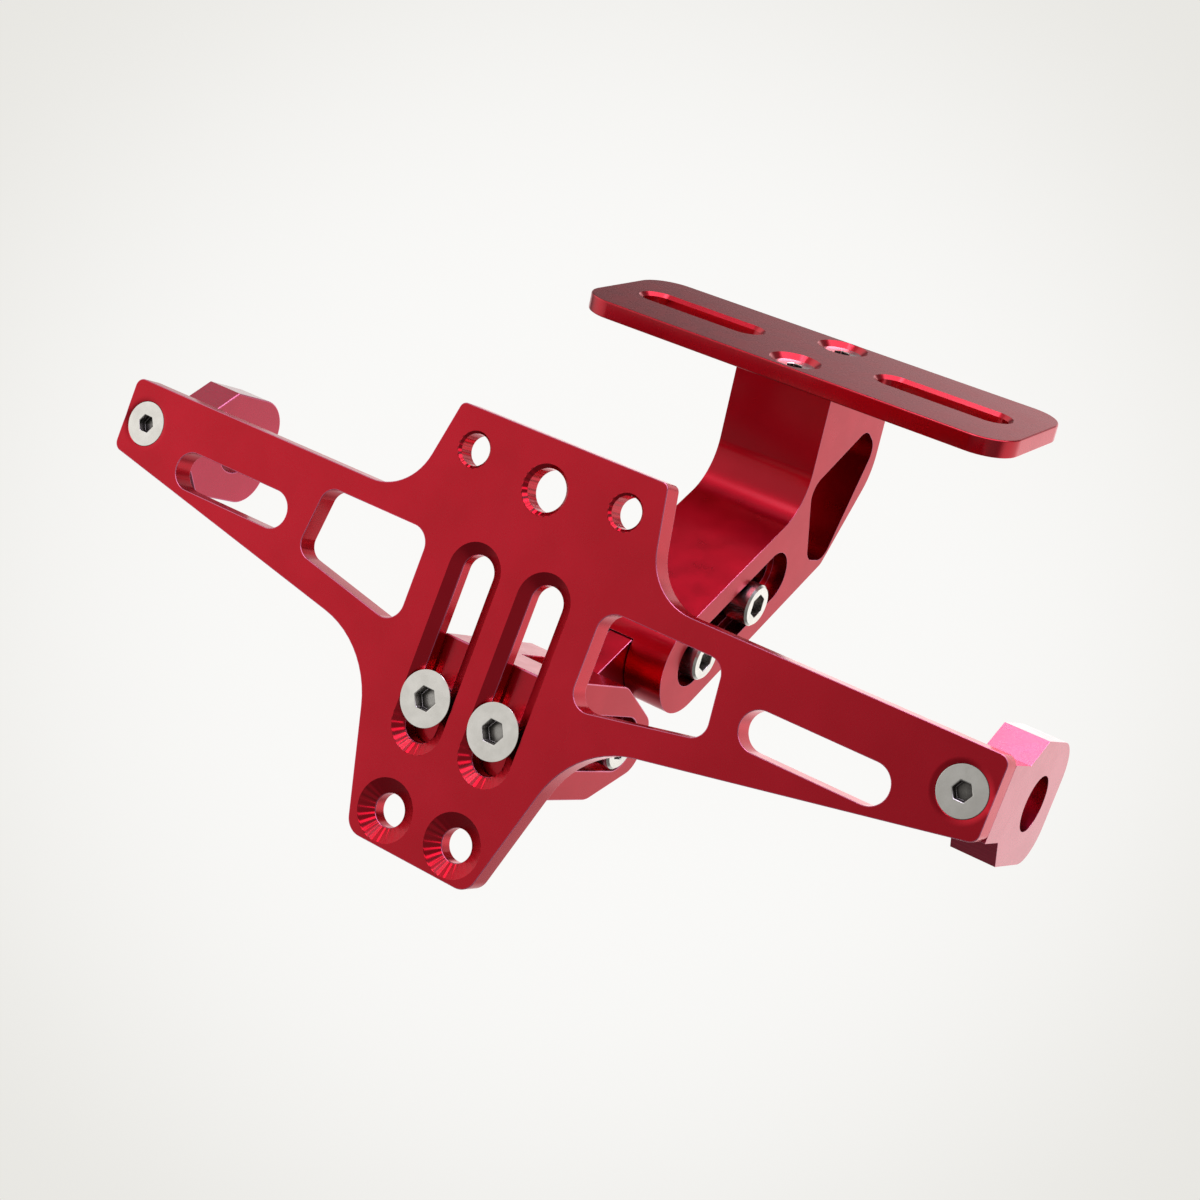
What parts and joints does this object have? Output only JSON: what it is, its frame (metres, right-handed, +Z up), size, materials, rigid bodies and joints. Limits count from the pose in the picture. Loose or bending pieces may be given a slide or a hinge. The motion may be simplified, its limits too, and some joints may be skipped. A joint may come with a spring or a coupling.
{
  "type": "tail tidy",
  "caption": "Adjustable number plate carrier for a motorcycle: slotted top plate, forked arm, link plate, tilting bracket and indicator brackets.",
  "frame": {"origin": "centre of the top plate's upper face, midway between the two fixing slots", "axes": "+Z up, out of the top plate; +X across the motorcycle, the side the bolt heads are on; -Y to the motorcycle's rear, where the number plate faces"},
  "size_m": [0.212, 0.1518, 0.0914],
  "materials": {
    "red_anodised": "satin red anodised",
    "stainless": "satin"
  },
  "bodies": {
    "top_mount": {"top_plate": "red_anodised", "top_screw_front": "stainless", "top_screw_rear": "stainless", "upper_arm": "red_anodised"},
    "link": {"link_plate": "red_anodised", "arm_bolt_upper": "stainless", "arm_bolt_lower": "stainless", "arm_washer_upper": "stainless", "arm_washer_lower": "stainless", "arm_nut_upper": "stainless", "arm_nut_lower": "stainless"},
    "tilt_clamp": {"tilt_bolt": "stainless", "tilt_washer": "stainless", "tilt_nut": "stainless"},
    "lower": {"lower_bracket": "red_anodised", "carrier_screw_right": "stainless", "carrier_screw_left": "stainless"},
    "carrier": {"number_plate_carrier": "red_anodised", "indicator_bracket_right": "red_anodised", "indicator_bracket_left": "red_anodised", "indicator_screw_right": "stainless", "indicator_screw_left": "stainless"}
  },
  "joints": [
    {"name": "arm_slide", "type": "slide", "parent": "top_mount", "child": "link", "axis": [0, -0.9164, -0.4003], "range_m": [-0.0015, 0.0015]},
    {"name": "tilt", "type": "hinge", "parent": "link", "child": "tilt_clamp", "pos_m": [0, -0.08167, -0.0732], "axis": [1, 0, 0], "range_deg": [-20, 12]},
    {"name": "reach", "type": "slide", "parent": "tilt_clamp", "child": "lower", "axis": [0, -0.9511, 0.309], "range_m": [-0.002, 0.0033]},
    {"name": "plate_height", "type": "slide", "parent": "lower", "child": "carrier", "axis": [0, 0.309, 0.9511], "range_m": [-0.027, 0.0054]}
  ]
}
